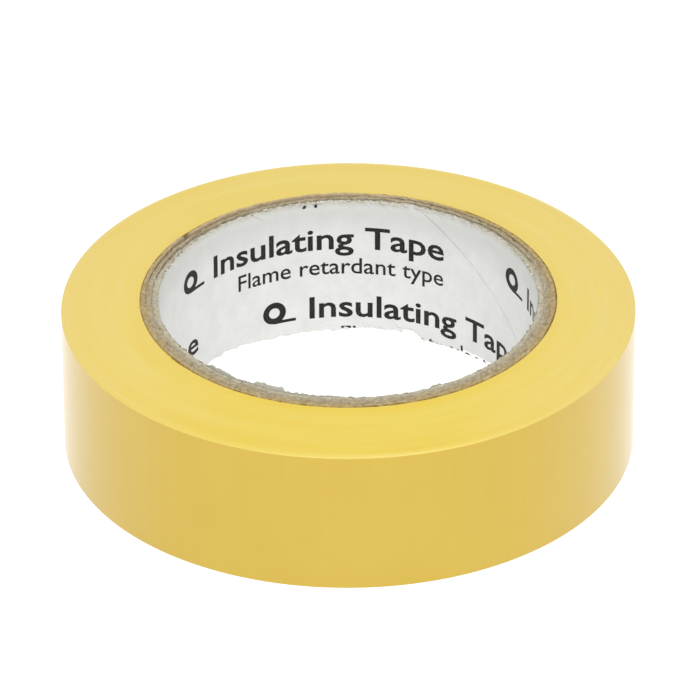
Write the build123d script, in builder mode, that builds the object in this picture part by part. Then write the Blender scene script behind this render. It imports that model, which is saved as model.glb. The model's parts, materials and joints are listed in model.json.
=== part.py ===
from build123d import *
import math
import os

# A roll of electrical tape on its spirally wound paper core, in millimetres.
# +Z is the roll's axis and the origin is the middle of the face that it rests on.
# The free end of the tape lies against the roll at the back, on the +Y side.

# Paper core: a white liner inside three kraft plies, one glued on another
bore_radius = 19.05
liner_thickness = 0.16
ply_thickness = 0.58
glue_line = 0.04
core_length = 15.4
core_rise = 0.7
butt_gap = 0.12
butt_slope = 35.4

# The angle, at half the core's height, of each ply's helical butt joint
butt_angles = {
    "liner_ply": 35,
    "inner_core_ply": 205,
    "middle_core_ply": 300,
    "outer_core_ply": 112,
}

# Tape: one strip wound in a spiral that is drawn as half turns, each wrap stuck fast to the next
tape_width = 15.0
wound_pitch = 0.125
half_turns = 126
tail_root_angle = 55

# Free end: stiff lengths of film and adhesive, hinged along the film's outer face
film_thickness = 0.10
adhesive_thickness = 0.02
tail_lengths = 4
tail_length_angle = 14
tail_lift = 0.03
hinge_gap = 0.10

core_radius = bore_radius + liner_thickness + 3 * (ply_thickness + glue_line)
winding_radius = core_radius + glue_line
half_pitch = wound_pitch / 2

os.makedirs("parts", exist_ok=True)


def save(piece, name):
    piece.part.label = name
    export_step(piece.part, f"parts/{name}.step")
    print(name, "volume", round(piece.part.volume, 1))


def core_ply(name, inner_radius, thickness):
    """One ply of the core: a tube slit along the slanting joint where its strip's edges meet."""
    angle = math.radians(butt_angles[name])
    slope = math.radians(butt_slope)
    outward = Vector(math.cos(angle), math.sin(angle), 0)
    around = Vector(-math.sin(angle), math.cos(angle), 0)
    along = around * math.cos(slope) + Vector(0, 0, math.sin(slope))
    wall_middle = outward * inner_radius + Vector(0, 0, core_rise + core_length / 2)
    butt_plane = Plane(origin=wall_middle, x_dir=outward, z_dir=outward.cross(along))
    with BuildPart() as ply:
        with BuildSketch(Plane.XY.offset(core_rise)):
            Circle(inner_radius + thickness)
            Circle(inner_radius, mode=Mode.SUBTRACT)
        extrude(amount=core_length)
        with BuildSketch(butt_plane):
            Rectangle(0.6 * inner_radius, 2.4 * core_length)
        extrude(amount=butt_gap / 2, both=True, mode=Mode.SUBTRACT)
    save(ply, name)


# Core plies, from the bore outwards
core_ply("liner_ply", bore_radius, liner_thickness)
ply_radius = bore_radius + liner_thickness + glue_line
for name in ("inner_core_ply", "middle_core_ply", "outer_core_ply"):
    core_ply(name, ply_radius, ply_thickness)
    ply_radius += ply_thickness + glue_line


def half_turn(number):
    """The inner side of one half turn: the centre steps from side to side as the radius grows."""
    centre = half_pitch / 2 * (-1) ** (number + 1)
    radius = winding_radius + number * half_pitch
    return CenterArc((centre, 0), radius, 180 * (number % 2), 180)


# The wound tape, between the inner side of its first turn and the outer side of its last:
# the strip's inner end makes a step in the hole, and its outer end the step where the free end starts
winding_plane = Plane.XY.rotated((0, 0, tail_root_angle - 180 * half_turns))
with BuildPart() as wound_tape:
    with BuildSketch(winding_plane):
        with BuildLine():
            last_turn = [half_turn(half_turns), half_turn(half_turns + 1)]
            Line(last_turn[0] @ 0, last_turn[1] @ 1)
        make_face()
        with BuildLine():
            first_turn = [half_turn(0), half_turn(1)]
            Line(first_turn[0] @ 0, first_turn[1] @ 1)
        make_face(mode=Mode.SUBTRACT)
    extrude(amount=tape_width)
save(wound_tape, "wound_tape")
strip_area = wound_tape.part.volume / tape_width
print("tape length", round(strip_area / wound_pitch / 1000, 2), "m")

# The free end, a hair above the last wrap so that it can turn away
under_tail_radius = winding_radius + half_turns * half_pitch
adhesive_radius = under_tail_radius + tail_lift
film_radius = adhesive_radius + adhesive_thickness
tail_radius = film_radius + film_thickness
gap_angle = math.degrees(hinge_gap / tail_radius)


def tail_layer(name, inner_radius, thickness, start_angle):
    """One stiff length of the free end's film or adhesive, bent to the roll's curve."""
    sweep_angle = tail_length_angle - gap_angle
    with BuildPart() as layer:
        with BuildSketch():
            with BuildLine():
                inner_side = CenterArc((0, 0), inner_radius, start_angle, sweep_angle)
                outer_side = CenterArc((0, 0), inner_radius + thickness, start_angle, sweep_angle)
                Line(inner_side @ 0, outer_side @ 0)
                Line(inner_side @ 1, outer_side @ 1)
            make_face()
        extrude(amount=tape_width)
    save(layer, name)


for number in range(tail_lengths):
    hinge_angle = tail_root_angle + number * tail_length_angle
    start_angle = hinge_angle + gap_angle / 2
    tail_layer(f"tail_film_{number + 1}", film_radius, film_thickness, start_angle)
    tail_layer(f"tail_adhesive_{number + 1}", adhesive_radius, adhesive_thickness, start_angle)
    hinge_x = tail_radius * math.cos(math.radians(hinge_angle))
    hinge_y = tail_radius * math.sin(math.radians(hinge_angle))
    print("hinge", number + 1, "at", round(hinge_x, 4), round(hinge_y, 4))
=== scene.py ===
import json
import math
import random

import bpy
from mathutils import Matrix, Vector, noise


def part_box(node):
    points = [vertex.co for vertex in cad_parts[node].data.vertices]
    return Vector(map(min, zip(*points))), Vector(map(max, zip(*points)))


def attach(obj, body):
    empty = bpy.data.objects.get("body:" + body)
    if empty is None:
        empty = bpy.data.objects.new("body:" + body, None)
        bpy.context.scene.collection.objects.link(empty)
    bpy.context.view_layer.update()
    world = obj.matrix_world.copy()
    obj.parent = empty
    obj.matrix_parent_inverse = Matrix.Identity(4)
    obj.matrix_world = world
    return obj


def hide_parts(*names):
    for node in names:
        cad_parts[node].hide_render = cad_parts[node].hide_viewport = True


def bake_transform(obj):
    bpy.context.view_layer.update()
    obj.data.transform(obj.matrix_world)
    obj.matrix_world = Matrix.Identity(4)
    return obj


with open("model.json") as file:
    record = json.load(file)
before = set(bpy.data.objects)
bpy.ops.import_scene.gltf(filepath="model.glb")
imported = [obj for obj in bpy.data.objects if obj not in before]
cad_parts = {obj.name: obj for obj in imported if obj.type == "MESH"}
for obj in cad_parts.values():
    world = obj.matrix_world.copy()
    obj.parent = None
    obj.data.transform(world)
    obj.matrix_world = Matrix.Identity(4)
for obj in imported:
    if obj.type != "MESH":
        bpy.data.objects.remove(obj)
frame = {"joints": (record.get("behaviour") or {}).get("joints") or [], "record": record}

mm = 0.001
fullTurn = 2 * math.pi
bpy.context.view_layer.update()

# Places from the CAD frame, in metres
boreMount = next(mount for mount in frame["record"]["mounts"] if mount["name"] == "core_bore")
boreRadius = boreMount["dims"]["r_mm"] * mm
coreLow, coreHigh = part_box("liner_ply")
tapeLow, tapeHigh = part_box("wound_tape")
tapeRadius = (tapeHigh.x - tapeLow.x + tapeHigh.y - tapeLow.y) / 4
hinges = [joint for joint in frame["joints"] if joint["type"] == "hinge"]
hingeAngles = [math.atan2(joint["pos_m"][1], joint["pos_m"][0]) for joint in hinges]
rootAngle = hingeAngles[0]
bendStep = hingeAngles[1] - hingeAngles[0]


def outerRadius(node):
    low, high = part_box(node)
    return (high.x - low.x) / 2


coreRadius = outerRadius("outer_core_ply")


def deselectAll():
    if bpy.context.object and bpy.context.object.mode != "OBJECT":
        bpy.ops.object.mode_set(mode="OBJECT")
    bpy.ops.object.select_all(action="DESELECT")


def editAlone(piece):
    deselectAll()
    piece.select_set(True)
    bpy.context.view_layer.objects.active = piece
    bpy.ops.object.mode_set(mode="EDIT")


def finishEdit():
    bpy.ops.object.mode_set(mode="OBJECT")


# selects the edges whose two ends pass the test, and nothing else
def pickEdges(piece, wanted):
    bpy.ops.object.mode_set(mode="EDIT")
    bpy.ops.mesh.select_mode(type="EDGE")
    bpy.ops.mesh.select_all(action="DESELECT")
    bpy.ops.object.mode_set(mode="OBJECT")
    points = piece.data.vertices
    for edge in piece.data.edges:
        first, second = (points[index].co for index in edge.vertices)
        edge.select = wanted(first, second)
    bpy.ops.object.mode_set(mode="EDIT")


# an upright rectangle's outline, cut up finely and spun round the roll's axis
def spunSection(name, inner, outer, low, high, acrossCuts, upCuts, steps, turn=fullTurn):
    deselectAll()
    middle = ((inner + outer) / 2, 0, (low + high) / 2)
    bpy.ops.mesh.primitive_plane_add(size=1, location=middle, rotation=(math.pi / 2, 0, 0))
    piece = bpy.context.active_object
    piece.name = piece.data.name = name
    piece.scale = (outer - inner, high - low, 1)
    bpy.ops.object.transform_apply(location=True, rotation=True, scale=True)
    editAlone(piece)
    bpy.ops.mesh.delete(type="ONLY_FACE")
    for cuts in acrossCuts:
        pickEdges(piece, lambda a, b: abs(a.z - b.z) < 1e-7)
        bpy.ops.mesh.subdivide(number_cuts=cuts)
    pickEdges(piece, lambda a, b: abs(a.x - b.x) < 1e-7)
    bpy.ops.mesh.subdivide(number_cuts=upCuts)
    finishEdit()
    piece["sectionPoints"] = len(piece.data.vertices)
    editAlone(piece)
    bpy.ops.mesh.select_all(action="SELECT")
    bpy.ops.mesh.spin(steps=steps, angle=turn, center=(0, 0, 0), axis=(0, 0, 1),
                      use_auto_merge=False)
    finishEdit()
    return piece


# moves each point: shape takes and gives its radius, its angle from the start and its height
def reshapeSpun(piece, shape, turn=fullTurn):
    points = piece.data.vertices
    first = piece["sectionPoints"]
    spunTo = next(point.co.y for point in points[first:] if abs(point.co.y) > 1e-9)
    sense = 1 if spunTo > 0 else -1
    for point in points:
        radius = math.hypot(point.co.x, point.co.y)
        angle = (sense * math.atan2(point.co.y, point.co.x)) % fullTurn
        if point.index < first:
            angle = 0.0
        elif turn == fullTurn and (angle < 1e-4 or angle > fullTurn - 1e-4):
            angle = fullTurn
        radius, angle, height = shape(radius, angle, point.co.z)
        point.co = (radius * math.cos(angle), radius * math.sin(angle), height)
    del piece["sectionPoints"]


def closeUp(piece, weld=1e-6):
    editAlone(piece)
    bpy.ops.mesh.select_mode(type="VERT")
    bpy.ops.mesh.select_all(action="SELECT")
    bpy.ops.mesh.remove_doubles(threshold=weld)
    bpy.ops.mesh.select_all(action="SELECT")
    bpy.ops.mesh.fill_holes(sides=0)
    bpy.ops.mesh.select_all(action="SELECT")
    bpy.ops.mesh.normals_make_consistent(inside=False)
    finishEdit()


def smoothByAngle(piece, degrees):
    deselectAll()
    piece.select_set(True)
    bpy.context.view_layer.objects.active = piece
    bpy.ops.object.shade_smooth_by_angle(angle=math.radians(degrees))


# 1 inside a stretch of the rim, 0 outside it, with soft ends; centre, width and ends in degrees
def within(angle, centre, halfWidth, soft):
    away = abs((math.degrees(angle) - centre + 180) % 360 - 180)
    return min(1.0, max(0.0, (halfWidth - away) / soft + 0.5))


# uneven but repeatable: noise read at the point's place on the roll
def rough(radius, angle, height, size, seed, octaves=3):
    place = Vector((radius * math.cos(angle), radius * math.sin(angle), height)) / size
    return noise.fractal(place + Vector((seed, 2.7 * seed, 0.6 * seed)), 0.6, 2.1, octaves)


def newNode(tree, kind, **values):
    node = tree.nodes.new(kind)
    for key, value in values.items():
        if hasattr(node, key):
            setattr(node, key, value)
        else:
            node.inputs[key.replace("_", " ")].default_value = value
    return node


def startMaterial(name):
    material = bpy.data.materials.new(name)
    material.use_nodes = True
    tree = material.node_tree
    tree.nodes.clear()
    output = tree.nodes.new("ShaderNodeOutputMaterial")
    shader = tree.nodes.new("ShaderNodeBsdfPrincipled")
    tree.links.new(shader.outputs["BSDF"], output.inputs["Surface"])
    return material, tree, shader


def startGroup(name, inputs, outputs):
    group = bpy.data.node_groups.new(name, "ShaderNodeTree")
    for label, kind, value in inputs:
        socket = group.interface.new_socket(label, in_out="INPUT", socket_type=kind)
        socket.default_value = value
    for label, kind in outputs:
        group.interface.new_socket(label, in_out="OUTPUT", socket_type=kind)
    return group, group.nodes.new("NodeGroupInput"), group.nodes.new("NodeGroupOutput")


def placeGroup(tree, group, **values):
    node = tree.nodes.new("ShaderNodeGroup")
    node.node_tree = group
    for key, value in values.items():
        node.inputs[key].default_value = value
    return node


# streaks that run round the roll's axis: thin across the radius and up the wall, long round it
def makeRoundGrain():
    group, source, result = startGroup(
        "roundGrain",
        [("Radial", "NodeSocketFloat", 4000.0), ("Around", "NodeSocketFloat", 6.0),
         ("Upward", "NodeSocketFloat", 300.0), ("Detail", "NodeSocketFloat", 4.0)],
        [("Value", "NodeSocketFloat"), ("Distance", "NodeSocketFloat")])
    tree = group
    place = newNode(tree, "ShaderNodeTexCoord")
    parts = newNode(tree, "ShaderNodeSeparateXYZ")
    tree.links.new(place.outputs["Object"], parts.inputs[0])
    flat = newNode(tree, "ShaderNodeCombineXYZ")
    tree.links.new(parts.outputs["X"], flat.inputs["X"])
    tree.links.new(parts.outputs["Y"], flat.inputs["Y"])
    length = newNode(tree, "ShaderNodeVectorMath", operation="LENGTH")
    tree.links.new(flat.outputs[0], length.inputs[0])
    direction = newNode(tree, "ShaderNodeVectorMath", operation="NORMALIZE")
    tree.links.new(flat.outputs[0], direction.inputs[0])
    around = newNode(tree, "ShaderNodeVectorMath", operation="SCALE")
    tree.links.new(direction.outputs[0], around.inputs[0])
    tree.links.new(source.outputs["Around"], around.inputs["Scale"])
    radial = newNode(tree, "ShaderNodeMath", operation="MULTIPLY")
    tree.links.new(length.outputs["Value"], radial.inputs[0])
    tree.links.new(source.outputs["Radial"], radial.inputs[1])
    upward = newNode(tree, "ShaderNodeMath", operation="MULTIPLY")
    tree.links.new(parts.outputs["Z"], upward.inputs[0])
    tree.links.new(source.outputs["Upward"], upward.inputs[1])
    lift = newNode(tree, "ShaderNodeMath", operation="ADD")
    tree.links.new(radial.outputs[0], lift.inputs[0])
    tree.links.new(upward.outputs[0], lift.inputs[1])
    stack = newNode(tree, "ShaderNodeCombineXYZ")
    tree.links.new(lift.outputs[0], stack.inputs["Z"])
    spread = newNode(tree, "ShaderNodeVectorMath", operation="ADD")
    tree.links.new(around.outputs[0], spread.inputs[0])
    tree.links.new(stack.outputs[0], spread.inputs[1])
    grain = newNode(tree, "ShaderNodeTexNoise", Scale=1.0, Roughness=0.6)
    tree.links.new(spread.outputs[0], grain.inputs["Vector"])
    tree.links.new(source.outputs["Detail"], grain.inputs["Detail"])
    tree.links.new(grain.outputs[0], result.inputs["Value"])
    tree.links.new(length.outputs["Value"], result.inputs["Distance"])
    return group


# soft blotches at one size with finer specks in them
def makeMottle():
    group, source, result = startGroup(
        "mottle",
        [("Size", "NodeSocketFloat", 1000.0), ("Detail", "NodeSocketFloat", 5.0),
         ("Roughness", "NodeSocketFloat", 0.6)],
        [("Value", "NodeSocketFloat")])
    place = newNode(group, "ShaderNodeTexCoord")
    grain = newNode(group, "ShaderNodeTexNoise")
    group.links.new(place.outputs["Object"], grain.inputs["Vector"])
    group.links.new(source.outputs["Size"], grain.inputs["Scale"])
    group.links.new(source.outputs["Detail"], grain.inputs["Detail"])
    group.links.new(source.outputs["Roughness"], grain.inputs["Roughness"])
    group.links.new(grain.outputs[0], result.inputs["Value"])
    return group


roundGrain = makeRoundGrain()
mottle = makeMottle()


# a colour ramp: stops are places from 0 to 1 with their colours
def colourBetween(tree, value, stops):
    ramp = tree.nodes.new("ShaderNodeValToRGB")
    elements = ramp.color_ramp.elements
    while len(elements) > 1:
        elements.remove(elements[0])
    elements[0].position, elements[0].color = stops[0][0], (*stops[0][1], 1)
    for position, colour in stops[1:]:
        elements.new(position).color = (*colour, 1)
    tree.links.new(value, ramp.inputs["Fac"])
    return ramp.outputs["Color"]


def remapped(tree, value, low, high, fromLow=0.3, fromHigh=0.7):
    node = newNode(tree, "ShaderNodeMapRange")
    node.inputs["From Min"].default_value = fromLow
    node.inputs["From Max"].default_value = fromHigh
    node.inputs["To Min"].default_value = low
    node.inputs["To Max"].default_value = high
    tree.links.new(value, node.inputs["Value"])
    return node.outputs["Result"]


# share of the second value or colour in the first; each may be a socket or a constant
def blended(tree, first, second, share):
    node = newNode(tree, "ShaderNodeMix", data_type="RGBA")
    for socket, value in (("Factor", share), ("A", first), ("B", second)):
        target = [entry for entry in node.inputs if entry.name == socket and entry.enabled][0]
        if isinstance(value, bpy.types.NodeSocket):
            tree.links.new(value, target)
        else:
            target.default_value = value
    return [entry for entry in node.outputs if entry.enabled][0]


def calculated(tree, operation, first, second):
    node = newNode(tree, "ShaderNodeMath", operation=operation)
    for target, value in zip(node.inputs, (first, second)):
        if isinstance(value, bpy.types.NodeSocket):
            tree.links.new(value, target)
        else:
            target.default_value = value
    return node.outputs[0]


# the place on the object, as X, Y and Z
def objectPlace(tree):
    place = newNode(tree, "ShaderNodeTexCoord")
    parts = newNode(tree, "ShaderNodeSeparateXYZ")
    tree.links.new(place.outputs["Object"], parts.inputs[0])
    return parts


# chains bump nodes: each entry is a value, how deep it is and how strong
def bumped(tree, shader, heights):
    normal = None
    for value, depth, strength in heights:
        bump = newNode(tree, "ShaderNodeBump")
        bump.inputs["Distance"].default_value = depth
        bump.inputs["Strength"].default_value = strength
        tree.links.new(value, bump.inputs["Height"])
        if normal:
            tree.links.new(normal, bump.inputs["Normal"])
        normal = bump.outputs["Normal"]
    tree.links.new(normal, shader.inputs["Normal"])


vinyl = {
    "edgeGolden": (0.520, 0.368, 0.019),
    "edgeMiddle": (0.516, 0.385, 0.033),
    "edgePale": (0.526, 0.405, 0.056),
    # painted sheen: a paler colour laid on the sides and the back of the wound edge
    "edgeSheen": (0.530, 0.410, 0.140),
    "faceDeep": (0.515, 0.346, 0.019),
    "facePale": (0.531, 0.360, 0.024),
    "faceStretched": (0.560, 0.392, 0.046),
    "faceRoughness": (0.20, 0.25),
    "coatWeight": 0.42,
    "coatRoughness": 0.12,
    "edgeRoughness": (0.28, 0.36),
    "edgeIor": 1.6,
}


def makeFilmFace():
    material, tree, shader = startMaterial("glossyVinylFace")
    streaks = placeGroup(tree, roundGrain, Radial=0.0, Around=90.0, Upward=25.0, Detail=3.0)
    clouds = placeGroup(tree, mottle, Size=110.0, Detail=2.0)
    colour = colourBetween(tree, clouds.outputs[0], [
        (0.3, vinyl["faceDeep"]), (0.7, vinyl["facePale"])])
    stretched = remapped(tree, streaks.outputs[0], 0.0, 0.26, 0.46, 0.74)
    colour = blended(tree, colour, (*vinyl["faceStretched"], 1), stretched)
    tree.links.new(colour, shader.inputs["Base Color"])
    low, high = vinyl["faceRoughness"]
    tree.links.new(remapped(tree, streaks.outputs[0], low, high), shader.inputs["Roughness"])
    shader.inputs["Coat Weight"].default_value = vinyl["coatWeight"]
    shader.inputs["Coat Roughness"].default_value = vinyl["coatRoughness"]
    fine = placeGroup(tree, mottle, Size=5200.0, Detail=2.0)
    bumped(tree, shader, [(streaks.outputs[0], 0.00001, 0.3), (fine.outputs[0], 0.000001, 0.3)])
    return material


def makeFilmEdges():
    material, tree, shader = startMaterial("woundVinylEdges")
    # fine lines for the wraps, broad rings for bundles of them
    wraps = placeGroup(tree, roundGrain, Radial=2600.0, Around=2.5, Upward=0.0, Detail=5.0)
    bands = placeGroup(tree, roundGrain, Radial=620.0, Around=1.2, Upward=0.0, Detail=2.0)
    patches = placeGroup(tree, mottle, Size=75.0, Detail=2.0)
    across = remapped(tree, wraps.outputs["Distance"], 0.0, 1.0, coreRadius, tapeRadius)
    wander = calculated(tree, "MULTIPLY",
                        calculated(tree, "SUBTRACT", patches.outputs[0], 0.5), 0.08)
    golden, middle, pale = vinyl["edgeGolden"], vinyl["edgeMiddle"], vinyl["edgePale"]
    zones = colourBetween(tree, calculated(tree, "ADD", across, wander), [  # from core to rim
        (0.0, golden), (0.05, golden), (0.12, middle), (0.30, pale), (0.45, middle), (0.60, pale),
        (0.72, middle), (0.86, golden), (0.91, golden), (0.94, pale), (1.0, pale)])
    mix = calculated(tree, "ADD", calculated(tree, "MULTIPLY", wraps.outputs[0], 0.45),
                     calculated(tree, "MULTIPLY", bands.outputs[0], 0.55))
    streaks = colourBetween(tree, mix, [(0.34, golden), (0.5, middle), (0.66, pale)])
    parts = objectPlace(tree)
    fromMiddle = calculated(tree, "ABSOLUTE", parts.outputs["X"], 0)
    sideways = remapped(tree, fromMiddle, 0.0, 0.55, 0.35 * tapeRadius, tapeRadius)
    backwards = remapped(tree, parts.outputs["Y"], 0.0, 0.22, 0.0, tapeRadius)
    paintedSheen = calculated(tree, "MAXIMUM", sideways, backwards)  # painted sheen: the sides and the back are made paler, as if they caught a reflection
    paintedSheen = calculated(tree, "MULTIPLY", paintedSheen, remapped(tree, mix, 0.6, 1.2, 0.35, 0.65))
    edges = blended(tree, zones, streaks, 0.6)
    edges = blended(tree, edges, (*vinyl["edgeSheen"], 1), paintedSheen)
    tree.links.new(edges, shader.inputs["Base Color"])
    low, high = vinyl["edgeRoughness"]
    tree.links.new(remapped(tree, wraps.outputs[0], low, high), shader.inputs["Roughness"])
    shader.inputs["IOR"].default_value = vinyl["edgeIor"]
    bumped(tree, shader, [(wraps.outputs[0], 0.00001, 0.35)])
    return material


adhesive = {
    "deep": (0.50, 0.33, 0.07),
    "pale": (0.60, 0.42, 0.12),
    "roughness": (0.25, 0.5),
}


def makeAdhesive():
    material, tree, shader = startMaterial("tackyAdhesive")
    blotches = placeGroup(tree, mottle, Size=900.0, Detail=4.0)
    stops = [(0.35, adhesive["deep"]), (0.65, adhesive["pale"])]
    tree.links.new(colourBetween(tree, blotches.outputs[0], stops), shader.inputs["Base Color"])
    low, high = adhesive["roughness"]
    tree.links.new(remapped(tree, blotches.outputs[0], low, high), shader.inputs["Roughness"])
    bumped(tree, shader, [(blotches.outputs[0], 0.00004, 0.6)])
    return material


board = {
    "grain": [(0.34, (0.07, 0.055, 0.035)), (0.43, (0.185, 0.155, 0.100)),
              (0.53, (0.320, 0.272, 0.178)), (0.64, (0.55, 0.50, 0.38))],
    "zones": [(0.0, (0.44, 0.425, 0.355)), (0.22, (0.385, 0.36, 0.28)),
              (0.36, (0.295, 0.255, 0.18)), (0.55, (0.265, 0.208, 0.128)),
              (0.68, (0.248, 0.184, 0.080)), (0.88, (0.335, 0.224, 0.046))],  # from bore to tape
    "worn": (0.41, 0.32, 0.22),
    # painted shade for the gaps between plies
    "plyGapShade": (0.050, 0.032, 0.018),
    # painted shadow where the board meets the tape
    "tapeEdgeShadow": (0.17, 0.085, 0.022),
    "roughness": 0.92,
}


def makeKraft():
    material, tree, shader = startMaterial("rawKraftBoard")
    fibres = placeGroup(tree, roundGrain, Radial=3400.0, Around=38.0, Upward=1500.0, Detail=6.0)
    felt = placeGroup(tree, mottle, Size=2300.0, Detail=8.0, Roughness=0.72)
    blotches = placeGroup(tree, mottle, Size=330.0, Detail=3.0)
    mix = calculated(tree, "ADD", calculated(tree, "MULTIPLY", fibres.outputs[0], 0.5),
                     calculated(tree, "MULTIPLY", felt.outputs[0], 0.5))
    grain = colourBetween(tree, mix, board["grain"])
    across = remapped(tree, fibres.outputs["Distance"], 0.0, 1.0, boreRadius, coreRadius)
    wander = calculated(tree, "MULTIPLY",
                        calculated(tree, "SUBTRACT", blotches.outputs[0], 0.5), 0.45)
    zones = colourBetween(tree, calculated(tree, "ADD", across, wander), board["zones"])
    colour = blended(tree, grain, zones, 0.55)
    parts = objectPlace(tree)
    aside = calculated(tree, "MULTIPLY", parts.outputs["X"], 0.4)
    leaning = calculated(tree, "SUBTRACT", parts.outputs["Y"], aside)  # grows towards the back left
    atBack = remapped(tree, leaning, 0.06, 1.0, 5 * mm, 14 * mm)
    atLeft = calculated(tree, "MULTIPLY", remapped(tree, leaning, 0.0, 0.55, 12 * mm, 20 * mm),
                        remapped(tree, across, 0.0, 1.0, 0.66, 0.80))
    colour = blended(tree, colour, (*board["worn"], 1), atLeft)
    drift = newNode(tree, "ShaderNodeMath", operation="MULTIPLY_ADD")
    tree.links.new(blotches.outputs[0], drift.inputs[0])
    drift.inputs[1].default_value = 0.16 * mm
    inward = calculated(tree, "SUBTRACT", fibres.outputs["Distance"], 0.08 * mm)
    tree.links.new(inward, drift.inputs[2])
    # painted shade: dark lines in the gaps between plies, where they have come apart at the back
    for name in ("inner_core_ply", "middle_core_ply"):
        away = calculated(tree, "SUBTRACT", drift.outputs[0], outerRadius(name))
        away = calculated(tree, "ABSOLUTE", away, 0)
        near = remapped(tree, away, 1.0, 0.0, 0.02 * mm, 0.075 * mm)
        broken = remapped(tree, felt.outputs[0], 0.95, 0.35, 0.42, 0.62)
        line = calculated(tree, "MULTIPLY", calculated(tree, "MULTIPLY", near, atBack), broken)
        colour = blended(tree, colour, (*board["plyGapShade"], 1), line)
    tapeEdgeShadow = calculated(tree, "MULTIPLY", remapped(tree, across, 0.0, 0.85, 0.90, 0.97),
                       remapped(tree, blotches.outputs[0], 1.0, 0.45, 0.42, 0.62))
    colour = blended(tree, colour, (*board["tapeEdgeShadow"], 1), tapeEdgeShadow)  # painted shadow: the thin brown line where the board meets the tape
    tree.links.new(colour, shader.inputs["Base Color"])
    shader.inputs["Roughness"].default_value = board["roughness"]
    bumped(tree, shader, [(fibres.outputs[0], 0.00012, 0.7), (felt.outputs[0], 0.00014, 0.8)])
    return material


paper = {
    "tones": [(0.3, (0.636, 0.638, 0.620)), (0.5, (0.673, 0.675, 0.657)),
              (0.7, (0.705, 0.707, 0.694))],
    "speck": (0.40, 0.38, 0.34),
    # painted shade: the liner darkens towards its top edge
    "topShade": (0.52, 0.525, 0.495),
    "topShadeDepth": 4.5 * mm,
    "fringe": (0.44, 0.42, 0.35),
    "fringeDepth": 0.55 * mm,
    "roughness": 0.7,
}


def makeLinerPaper():
    material, tree, shader = startMaterial("whiteLinerPaper")
    clouds = placeGroup(tree, mottle, Size=520.0, Detail=5.0, Roughness=0.6)
    fine = placeGroup(tree, mottle, Size=5200.0, Detail=4.0, Roughness=0.7)
    torn = placeGroup(tree, roundGrain, Radial=300.0, Around=40.0, Upward=900.0, Detail=5.0)
    colour = colourBetween(tree, clouds.outputs[0], paper["tones"])
    specks = remapped(tree, fine.outputs[0], 0.0, 0.34, 0.60, 0.69)
    colour = blended(tree, colour, (*paper["speck"], 1), specks)
    parts = objectPlace(tree)
    top = coreHigh.z
    # painted shade, darker towards the top of the bore
    topShade = remapped(tree, parts.outputs["Z"], 0.0, 0.85, top - paper["topShadeDepth"], top)
    colour = blended(tree, colour, (*paper["topShade"], 1), topShade)
    nearTop = remapped(tree, parts.outputs["Z"], 0.0, 1.0, top - paper["fringeDepth"], top)
    tufts = remapped(tree, torn.outputs[0], 0.3, 1.0, 0.35, 0.6)
    fringe = calculated(tree, "MULTIPLY", nearTop, tufts)
    colour = blended(tree, colour, (*paper["fringe"], 1), fringe)
    tree.links.new(colour, shader.inputs["Base Color"])
    shader.inputs["Roughness"].default_value = paper["roughness"]
    bumped(tree, shader, [(clouds.outputs[0], 0.00004, 0.4), (fine.outputs[0], 0.00002, 0.5)])
    return material


ink = {
    "tones": [(0.40, (0.006, 0.005, 0.004)), (0.60, (0.016, 0.014, 0.012)),
              (0.70, (0.12, 0.11, 0.10))],
    "specular": 0.25,
    "roughness": 0.6,
}


def makeInk():
    material, tree, shader = startMaterial("printingInk")
    wear = placeGroup(tree, mottle, Size=6500.0, Detail=4.0, Roughness=0.7)
    tree.links.new(colourBetween(tree, wear.outputs[0], ink["tones"]), shader.inputs["Base Color"])
    shader.inputs["Roughness"].default_value = ink["roughness"]
    shader.inputs["Specular IOR Level"].default_value = ink["specular"]
    bumped(tree, shader, [(wear.outputs[0], 0.00001, 0.4)])
    return material


filmFace = makeFilmFace()
filmEdges = makeFilmEdges()
adhesiveCoat = makeAdhesive()
kraftBoard = makeKraft()
linerPaper = makeLinerPaper()
printingInk = makeInk()
print("materials made")


woundTape = {
    "wraps": 63,
    "steps": 240,
    "wallCuts": 18,
    "slip": 0.85 * mm,  # how far the inner wraps have slid up the core
    "crest": 0.17 * mm,  # the top of the flat part over the CAD face
    "groove": 0.004 * mm,  # how deep the line between two wraps is
    "uneven": 0.006 * mm,  # how much wraps differ in height
    "bundles": ((1.0, 0.83, 0.0), (0.7, 0.31, 1.3), (0.5, 2.17, 0.4)),  # waves: share, rate, start
    "shoulder": 0.75 * mm,  # the width of the rounded rim
    "shoulderDrop": 0.13 * mm,
}
wrapPitch = (tapeRadius - coreRadius) / woundTape["wraps"]


# how far a wrap's edge stands from the even face, from its place across the winding
def wrapHeight(radius, angle):
    wrap = (radius - coreRadius) / wrapPitch
    bundles = sum(share * math.sin(wrap * rate + start)
                  for share, rate, start in woundTape["bundles"])
    wander = rough(radius, angle, 0, 9 * mm, 3.1, 2)
    return woundTape["uneven"] * (0.5 * bundles + 1.6 * wander)


# how far the rounded rim falls away
def rimDrop(radius):
    fromRim = (tapeRadius + wrapPitch / 2 - radius) / woundTape["shoulder"]
    return woundTape["shoulderDrop"] * max(0.0, 1 - fromRim) ** 2


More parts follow.
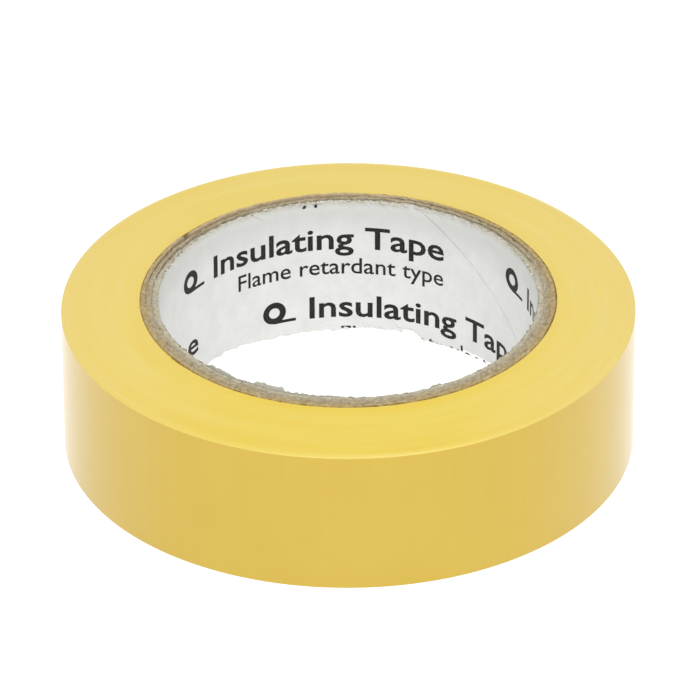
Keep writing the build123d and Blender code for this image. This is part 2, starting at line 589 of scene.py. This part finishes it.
def makeWoundTape():
    low, high = tapeLow.z, tapeHigh.z
    inner, outer = coreRadius, tapeRadius
    piece = spunSection("woundTape", inner, outer, low, high,
                        [woundTape["wraps"] - 1, 1], woundTape["wallCuts"], woundTape["steps"])

    def shape(radius, angle, height):
        onBoundary = abs((radius - inner) / wrapPitch % 1 - 0.5) > 0.25
        up = (height - low) / (high - low)
        radius += wrapPitch * (angle / fullTurn - 0.5)
        inward = (outer - radius) / (outer - inner)
        lift = woundTape["slip"] * inward
        uneven = wrapHeight(radius, angle)
        groove = woundTape["groove"] if onBoundary else 0.0
        top = high + woundTape["crest"] + lift + uneven - groove - rimDrop(radius)
        bottom = low + lift + abs(uneven) * inward + groove * inward + 0.15 * rimDrop(radius)
        return radius, angle + rootAngle, bottom + (top - bottom) * up

    reshapeSpun(piece, shape)
    closeUp(piece)
    piece.data.materials.append(filmEdges)
    piece.data.materials.append(filmFace)
    for face in piece.data.polygons:
        fromAxis = math.hypot(face.center.x, face.center.y)
        onWall = abs(face.normal.z) < 0.3 and fromAxis > outer - wrapPitch
        face.material_index = 1 if onWall else 0
    smoothByAngle(piece, 50)
    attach(piece, "roll")
    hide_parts("wound_tape")
    print("tape wound in", woundTape["wraps"], "wraps,", len(piece.data.polygons), "faces")


makeWoundTape()


corePlies = {
    "slope": math.radians(35.4),  # of the butt joints, from level
    "gap": 0.12 * mm,
    "joints": {"liner_ply": 35, "inner_core_ply": 205, "middle_core_ply": 300,
               "outer_core_ply": 112},  # degrees, at half the height
    "steps": 900,
    "swell": 0.035 * mm,  # how far a ply closes on the next
    "edgeDepth": 1.2 * mm,  # how far down the wall the wear at an edge reaches
    "fray": (0.10 * mm, 2.6 * mm),  # depth and size of the edge's long waves
    "fuzz": (0.11 * mm, 0.42 * mm),  # and of its short ones
    "lean": 0.12 * mm,  # how much higher the edge stands at the bore than at the tape
    "lip": 0.22 * mm,  # how far the edge falls away at the bore
    "spread": 0.11 * mm,  # how far loose plies part
    "rises": (-0.14 * mm, -0.04 * mm, 0.10 * mm),  # of the plies' edges, where they have come apart
    "notch": 143,  # degrees: where the outer ply's corner has broken out
    "notchDepth": 1.15 * mm,
    "short": 0.10 * mm,  # how much shorter the board is than the liner at the lower edge
    "broken": ((70, 2.6, 0.6, 0.58), (81, 8, 2, 0.22), (128, 5, 2, 0.26),
               (59.5, 6.6, 0.8, -0.30)),  # centre, half width and softness in degrees, mm
}


# where the plies have come apart at the top: most at the back left, a little at the back right
def apart(angle):
    return within(angle, 122, 40, 18) + 0.6 * within(angle, 48, 24, 16)


# how much of the lower edge is missing
def tornAway(angle):
    return mm * sum(depth * within(angle, centre, half, soft)
                    for centre, half, soft, depth in corePlies["broken"])


# a spun strip, sheared so that its two ends meet along a helix
def makePly(name, node, inner, outer, acrossCuts, upCuts, shapeEdges):
    low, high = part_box(node)[0].z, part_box(node)[1].z
    middle = (low + high) / 2
    turn = fullTurn - corePlies["gap"] / inner
    start = math.radians(corePlies["joints"][node]) + corePlies["gap"] / inner / 2
    piece = spunSection(name, inner, outer, low, high,
                        [acrossCuts], upCuts, corePlies["steps"], turn)

    def shape(radius, angle, height):
        angle += start + (height - middle) / math.tan(corePlies["slope"]) / inner
        return shapeEdges(radius, angle, height, inner, outer, low, high)

    reshapeSpun(piece, shape, turn)
    closeUp(piece, weld=1e-7)
    smoothByAngle(piece, 60)
    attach(piece, "roll")
    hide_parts(node)
    return piece


# the frayed edges of one board ply, counted from the bore
def kraftEdges(order):
    setting = corePlies
    (fray, fraySize), (fuzz, fuzzSize) = setting["fray"], setting["fuzz"]

    def shape(radius, angle, height, inner, outer, low, high):
        middle = (inner + outer) / 2
        across = (radius - middle) / (outer - inner) * 2  # from -1 to 1 through the ply
        through = (radius - boreRadius) / (coreRadius - boreRadius)  # from 0 to 1 through the core
        for edge, sign in ((high, 1), (low, -1)):
            near = max(0.0, 1 - abs(height - edge) / setting["edgeDepth"])
            if near <= 0:
                continue
            reach = fray * rough(radius, angle, sign * 10 * mm, fraySize, 11, 2)
            reach += fuzz * rough(radius, angle, sign * 10 * mm, fuzzSize, 17, 3)
            own = rough(middle, angle, sign * 10 * mm, 1.8 * mm, 23 + 7 * order, 3)
            if sign > 0:
                loose = apart(angle)
                reach += loose * (setting["rises"][order] + 0.10 * mm * own)
                reach -= (0.02 + 0.06 * loose) * mm * across ** 4
                reach += setting["lean"] * (0.45 - through)
                reach -= setting["lip"] * max(0.0, 1 - through / 0.26) ** 2
                radius -= near * setting["spread"] * loose * across
                if order == 2:
                    hole = within(angle, setting["notch"], 1.1, 0.7) * min(1.0, 3 * (1 - across))
                    reach -= setting["notchDepth"] * hole
            else:
                reach += 0.05 * mm * own - setting["short"] - max(0.0, tornAway(angle))
            height += sign * near ** 3 * reach
            wobble = rough(middle, angle, sign * 10 * mm, 1.5 * mm, 31, 2)
            radius += near ** 2 * 0.03 * mm * wobble
        return radius, angle, height
    return shape


def makeCore():
    inner = boreRadius + liner["thickness"] + 0.02 * mm
    plies = (("innerCorePly", "inner_core_ply"), ("middleCorePly", "middle_core_ply"),
             ("outerCorePly", "outer_core_ply"))
    for order, (name, node) in enumerate(plies):
        outer = outerRadius(node) + (corePlies["swell"] if order < 2 else 0)
        piece = makePly(name, node, inner, outer, 6, 13, kraftEdges(order))
        piece.data.materials.append(kraftBoard)
        inner = outer + 0.002 * mm
    print("core plies wound")


liner = {
    "thickness": 0.15 * mm,
    "edgeDepth": 1.4 * mm,
    "tear": 0.20 * mm,  # how far the torn edge wanders
    "fuzz": 0.15 * mm,
    "tabs": ((246, 4.5, 0.34), (229, 5, 0.16), (291, 3, -0.16), (297, 1.5, 0.12),
             (258, 2, 0.08)),  # places where it stands up: centre and half width in degrees, mm
    "sunk": 0.12 * mm,  # how far the edge lies under the board's, away from the back
    "fold": 0.26 * mm,  # how far its fringe folds out over the board at the back
}


# the liner's torn edges, which thin out to nothing at the top
def linerEdges(radius, angle, height, inner, outer, low, high):
    for edge, sign in ((high, 1), (low, -1)):
        near = max(0.0, 1 - abs(height - edge) / liner["edgeDepth"])
        if near <= 0:
            continue
        tear = rough(inner, angle, sign * 7 * mm, 2.4 * mm, 41, 2)
        stepped = 0.6 * math.floor(3 * tear + 0.5) / 3 + 0.4 * tear
        fuzz = rough(inner, angle, sign * 3 * mm, 0.45 * mm, 47, 2)
        reach = liner["fuzz"] * fuzz
        if sign > 0:
            reach += 0.5 * liner["tear"] * stepped + 0.03 * mm
            elsewhere = (1 - within(angle, 90, 60, 20)) * (1 - within(angle, 245, 25, 6))
            reach -= liner["sunk"] * elsewhere
            reach += sum(rise * mm * within(angle, centre, half, 0.9)
                         for centre, half, rise in liner["tabs"])
        else:
            reach += 0.6 * liner["tear"] * stepped - tornAway(angle) - 0.04 * mm
        height += sign * near ** 3 * reach
        if sign > 0:
            thin = max(0.0, near - 0.72) / 0.28
            radius += 0.9 * thin * (outer - radius)
            over = max(0.0, height - (high - 0.10 * mm))
            back = max(-0.35, math.sin(angle))
            radius += back * min(liner["fold"], 0.8 * over)
        curl = rough(inner, angle, sign * 5 * mm, 0.8 * mm, 53, 2)
        radius -= near ** 4 * 0.04 * mm * curl
    return radius, angle, height


def makeLiner():
    outer = boreRadius + liner["thickness"]
    piece = makePly("linerPly", "liner_ply", boreRadius, outer, 1, 22, linerEdges)
    piece.data.materials.append(linerPaper)
    print("liner wound")


makeCore()
makeLiner()


loosePaper = {
    "seed": 7,
    "flecks": 190,
    "fleckSpread": 34,  # degrees to either side of the back
    "fleckSizes": ((0.06, 0.22), (0.05, 0.13), (0.015, 0.04)),  # half of each side, in mm
    "fibres": 240,
    "fibreLengths": (0.10, 0.40),
    "fibreThicknesses": (0.010, 0.020),
}


# many small copies of one shape, each with its own mesh, joined into one piece
def scatter(name, template, matrices, material):
    copies = []
    for matrix in matrices:
        copy = template.copy()
        copy.data = template.data.copy()
        copy.data.transform(matrix)
        bpy.context.scene.collection.objects.link(copy)
        copies.append(copy)
    bpy.data.objects.remove(template)
    deselectAll()
    for copy in copies:
        copy.select_set(True)
    bpy.context.view_layer.objects.active = copies[0]
    bpy.ops.object.join()
    piece = bpy.context.active_object
    piece.name = piece.data.name = name
    piece.data.materials.append(material)
    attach(piece, "roll")
    return piece


# a place on the core's top: heading is measured from the way round, tilt up from level
def onCore(radius, angle, height, heading, tilt, size):
    place = Vector((radius * math.cos(angle), radius * math.sin(angle), height))
    turn = Matrix.Rotation(angle + math.pi / 2 + heading, 4, "Z") @ Matrix.Rotation(-tilt, 4, "Y")
    return Matrix.Translation(place) @ turn @ Matrix.Diagonal((*size, 1))


def makeLoosePaper():
    setting = loosePaper
    rng = random.Random(setting["seed"])
    deselectAll()
    bpy.ops.mesh.primitive_ico_sphere_add(subdivisions=1, radius=1)
    fleck = bpy.context.active_object
    places = []
    for number in range(setting["flecks"]):
        angle = math.radians(rng.gauss(90, setting["fleckSpread"]))
        radius = boreRadius + (0.10 + 0.38 * rng.random() ** 1.5) * mm
        height = coreHigh.z + (0.03 * rng.random() - 0.02) * mm
        size = [rng.uniform(low, high) * mm for low, high in setting["fleckSizes"]]
        heading, tilt = rng.uniform(-0.9, 0.9), rng.uniform(-0.3, 0.5)
        places.append(onCore(radius, angle, height, heading, tilt, size))
    scatter("linerFlecks", fleck, places, linerPaper)
    deselectAll()
    bpy.ops.mesh.primitive_cylinder_add(vertices=3, radius=1, depth=2, rotation=(0, math.pi / 2, 0))
    fibre = bpy.context.active_object
    bpy.ops.object.transform_apply(location=False, rotation=True, scale=False)
    places = []
    for number in range(setting["fibres"]):
        angle = rng.uniform(0, fullTurn)
        radius = boreRadius + rng.uniform(0.12, 1.95) * mm
        height = coreHigh.z + rng.uniform(-0.04, 0.06) * mm
        thickness = rng.uniform(*setting["fibreThicknesses"]) * mm
        size = (rng.uniform(*setting["fibreLengths"]) * mm, thickness, thickness)
        heading, tilt = rng.uniform(-1.3, 1.3), rng.uniform(-0.15, 0.35)
        places.append(onCore(radius, angle, height, heading, tilt, size))
    scatter("kraftFibres", fibre, places, kraftBoard)
    print("flecks and fibres strewn")


makeLoosePaper()


linerPrint = {
    "repeat": fullTurn / 3,  # the same mark comes round three times
    "firstAngle": math.radians(152),
    "rowShift": 11.4 * mm,
    "rowDrop": 8.2 * mm,
    "firstTop": 2.9 * mm,  # from the core's top edge to the first row's capitals
    "boldWords": "Insulating Tape",
    "boldHeight": 2.64 * mm,
    "boldStart": 4.9 * mm,  # from the sign's left side
    "boldLength": 25.9 * mm,
    "smallWords": "Flame retardant type",
    "smallHeight": 1.9 * mm,
    "smallStart": 8.3 * mm,
    "smallLength": 22.5 * mm,
    "smallDrop": 3.0 * mm,
    "capitalShare": 0.72,  # of a capital's height in the type's own size
    "lineShare": 1.3,  # of the height with descenders, to a capital's
    "ringShare": 0.36,  # of the sign's ring and strokes, to its height
    "strokeShare": 0.13,
    "rises": (0.0, 0.8 * mm, 0.7 * mm),  # the marks don't come round at quite the same height
    "tear": math.radians(66.3),  # where the lower edge steps down
    "lowest": (0.24 * mm, -0.20 * mm),  # the print's lowest places before and after it
    "lostRowRise": 0.5 * mm,  # the row above is cut off but for the tails of its letters
    "inkDepth": 0.012 * mm,
    "cut": 0.5 * mm,
}


# one line of type in Blender's own face, set to a height and a length
def typeLine(words, capital, width, bolder):
    deselectAll()
    bpy.ops.object.text_add()
    line = bpy.context.active_object
    line.data.body = words
    line.data.size = capital / linerPrint["capitalShare"]
    line.data.offset = bolder
    line.data.extrude = linerPrint["inkDepth"] / 2
    line.data.resolution_u = 3
    bpy.ops.object.convert(target="MESH")
    line = bpy.context.active_object
    tall = capital * linerPrint["lineShare"]
    line.scale = (width / line.dimensions.x, tall / line.dimensions.y, 1)
    bpy.ops.object.transform_apply(location=False, rotation=False, scale=True)
    return line


# a plain sign for a roll of tape: a ring with a bar that leaves it at the foot
def makePictogram(size):
    deselectAll()
    stroke = size * linerPrint["strokeShare"]
    bpy.ops.mesh.primitive_torus_add(major_segments=40, minor_segments=4,
                                     major_radius=size * linerPrint["ringShare"],
                                     minor_radius=stroke, location=(size * 0.5, size * 0.5, 0))
    ring = bpy.context.active_object
    ring.scale = (1, 1, linerPrint["inkDepth"] / (2 * stroke))
    bpy.ops.object.transform_apply(location=True, rotation=True, scale=True)
    deselectAll()
    bpy.ops.mesh.primitive_cube_add(size=1, location=(size * 0.95, size * 0.06, 0))
    bar = bpy.context.active_object
    bar.scale = (size * 0.9, stroke, linerPrint["inkDepth"])
    bpy.ops.object.transform_apply(location=True, rotation=True, scale=True)
    ring.select_set(True)
    bpy.context.view_layer.objects.active = ring
    bpy.ops.object.join()
    return ring


# cuts the print into narrow strips so that it can follow the bore's curve
def sliceAcross(piece, spacing):
    editAlone(piece)
    lowest = min(point.co.x for point in piece.data.vertices)
    highest = max(point.co.x for point in piece.data.vertices)
    for number in range(1, int((highest - lowest) / spacing) + 1):
        bpy.ops.mesh.select_all(action="SELECT")
        bpy.ops.mesh.bisect(plane_co=(lowest + number * spacing, 0, 0), plane_no=(1, 0, 0))
    finishEdit()


# takes off all that lies past a plane, and closes the cut
def trim(piece, place, way):
    if not piece.data.polygons:
        return
    editAlone(piece)
    bpy.ops.mesh.select_all(action="SELECT")
    bpy.ops.mesh.bisect(plane_co=place, plane_no=way, clear_outer=True, use_fill=True)
    finishEdit()


def makePrint():
    setting = linerPrint
    bold = typeLine(setting["boldWords"], setting["boldHeight"], setting["boldLength"], 0.06 * mm)
    bold.data.transform(Matrix.Translation((setting["boldStart"], 0, 0)))
    small = typeLine(setting["smallWords"], setting["smallHeight"], setting["smallLength"],
                     0.02 * mm)
    small.data.transform(Matrix.Translation((setting["smallStart"], -setting["smallDrop"], 0)))
    sign = makePictogram(setting["boldHeight"])
    deselectAll()
    for part in (bold, small, sign):
        part.select_set(True)
    bpy.context.view_layer.objects.active = bold
    bpy.ops.object.join()
    mark = bpy.context.active_object
    sliceAcross(mark, setting["cut"])
    copies = []
    for row in (-1, 0, 1):
        for number in range(3):
            start = setting["firstAngle"] - number * setting["repeat"]
            start -= row * setting["rowShift"] / boreRadius
            base = coreHigh.z - setting["firstTop"] - setting["boldHeight"]
            base -= row * setting["rowDrop"]
            base += setting["lostRowRise"] if row < 0 else setting["rises"][number]
            tear = (start - setting["tear"]) * boreRadius
            for side, rise in zip((1, -1), setting["lowest"]):
                lowest = coreLow.z + rise
                copy = mark.copy()
                copy.data = mark.data.copy()
                bpy.context.scene.collection.objects.link(copy)
                trim(copy, (tear, 0, 0), (side, 0, 0))
                trim(copy, (0, lowest - base, 0), (0, -1, 0))
                trim(copy, (0, coreHigh.z - 0.12 * mm - base, 0), (0, 1, 0))
                for point in copy.data.vertices:  # wrapped round the bore
                    angle = start - point.co.x / boreRadius
                    radius = boreRadius - 0.6 * setting["inkDepth"] + point.co.z
                    height = base + point.co.y
                    point.co = (radius * math.cos(angle), radius * math.sin(angle), height)
                copies.append(copy)
    bpy.data.objects.remove(mark)
    deselectAll()
    for copy in copies:
        copy.select_set(True)
    bpy.context.view_layer.objects.active = copies[0]
    bpy.ops.object.join()
    piece = bpy.context.active_object
    editAlone(piece)
    bpy.ops.mesh.select_all(action="SELECT")
    bpy.ops.mesh.flip_normals()  # wrapped round the bore, the letters had turned inside out
    bpy.ops.mesh.delete_loose()  # points that the trims left without a face
    finishEdit()
    piece.name = piece.data.name = "linerPrint"
    piece.data.materials.clear()
    piece.data.materials.append(printingInk)
    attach(piece, "roll")
    print("liner printed,", len(piece.data.polygons), "faces")


makePrint()


freeEnd = {
    "film": 0.095 * mm,
    "coat": 0.02 * mm,
    "lift": 0.006 * mm,
    "low": tapeLow.z + 0.02 * mm,
    "high": tapeHigh.z - 0.08 * mm,
    "stepDegrees": 0.7,
}


def makeTailLength(name, inner, outer, first, last, faceMaterial):
    arc = last - first
    steps = max(2, round(math.degrees(arc) / freeEnd["stepDegrees"]))
    piece = spunSection(name, inner, outer, freeEnd["low"], freeEnd["high"], [1], 12, steps, arc)

    def shape(radius, angle, height):
        angle += first
        radius += wrapPitch * (angle - rootAngle) / fullTurn
        return radius, angle, height

    reshapeSpun(piece, shape, arc)
    closeUp(piece, weld=1e-7)
    piece.data.materials.append(faceMaterial)
    smoothByAngle(piece, 40)
    return piece


def makeFreeEnd():
    under = tapeRadius - wrapPitch / 2 + freeEnd["lift"]
    bodies = [joint["child"] for joint in hinges]
    for number, hingeAngle in enumerate(hingeAngles):
        first = rootAngle if number == 0 else hingeAngle - bendStep / 2
        last = hingeAngle + bendStep / 2
        layers = (("tailFilm", "tail_film", under + freeEnd["coat"],
                   under + freeEnd["coat"] + freeEnd["film"], filmFace, "tape_film"),
                  ("tailAdhesive", "tail_adhesive", under, under + freeEnd["coat"],
                   adhesiveCoat, "tape_adhesive"))
        for label, node, inner, outer, material, finish in layers:
            piece = makeTailLength(f"{label}{number + 1}", inner, outer, first, last, material)
            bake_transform(piece)
            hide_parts(f"{node}_{number + 1}")
            if number == len(hinges) - 1:
                end = last + bendStep / 2
                tip = makeTailLength(f"{label}Tip", inner, outer, last, end, material)
                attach(tip, bodies[number])
    print("free end laid on the roll")


makeFreeEnd()


studio = {
    "lens": 361.5,
    "distance": 0.7105,
    "elevation": math.radians(31.0),
    "aimHeight": 9.82 * mm,
    "aimSide": 0.18 * mm,
    "roll": math.radians(-0.22),
    "tableWhite": (0.15, 0.15, 0.15),
    "tableGlow": 1.0,  # the floor is a plain light table, lit evenly from below
    "skyStrength": 0.95,
    "softboxPower": 6.0,
    "softboxSize": 0.9,
    "softboxPlace": (0.05, -0.1, 0.9),
    "fillPower": 1.2,
    "fillSize": 0.3,
    "fillBehind": 1.05,  # just behind the camera
}


def makeStudio():
    deselectAll()
    bpy.ops.mesh.primitive_plane_add(size=6, location=(0, 0, 0))
    floor = bpy.context.active_object
    floor.name = "floor"
    material, tree, shader = startMaterial("paleFloor")
    shader.inputs["Base Color"].default_value = (*studio["tableWhite"], 1)
    shader.inputs["Roughness"].default_value = 0.9
    shader.inputs["Emission Color"].default_value = (1, 1, 1, 1)
    shader.inputs["Emission Strength"].default_value = studio["tableGlow"]
    floor.data.materials.append(material)

    world = bpy.data.worlds.new("softWhiteRoom")
    bpy.context.scene.world = world
    world.use_nodes = True
    sky = world.node_tree.nodes["Background"]
    sky.inputs["Color"].default_value = (1, 1, 1, 1)
    sky.inputs["Strength"].default_value = studio["skyStrength"]

    bpy.ops.object.light_add(type="AREA", location=studio["softboxPlace"])
    softbox = bpy.context.active_object
    softbox.name = "softbox"
    softbox.data.size = studio["softboxSize"]
    softbox.data.energy = studio["softboxPower"]
    softbox.rotation_euler = (-softbox.location).to_track_quat("-Z", "Y").to_euler()

    reach, tilt = studio["distance"], studio["elevation"]
    place = Vector((0, -reach * math.cos(tilt), tapeHigh.z + reach * math.sin(tilt)))
    bpy.ops.object.light_add(type="AREA", location=place * studio["fillBehind"])
    fill = bpy.context.active_object
    fill.name = "fill"
    fill.data.size = studio["fillSize"]
    fill.data.energy = studio["fillPower"]
    fill.rotation_euler = (-place).to_track_quat("-Z", "Y").to_euler()
    bpy.ops.object.camera_add(location=place)
    camera = bpy.context.active_object
    camera.name = "camera"
    aim = Vector((studio["aimSide"], 0, studio["aimHeight"])) - place
    camera.rotation_euler = aim.to_track_quat("-Z", "Y").to_euler()
    camera.rotation_euler.rotate_axis("Z", studio["roll"])
    camera.data.lens = studio["lens"]
    camera.data.clip_end = 20
    bpy.context.scene.camera = camera
    bpy.context.scene.view_settings.view_transform = "Standard"
    print("studio set")


makeStudio()
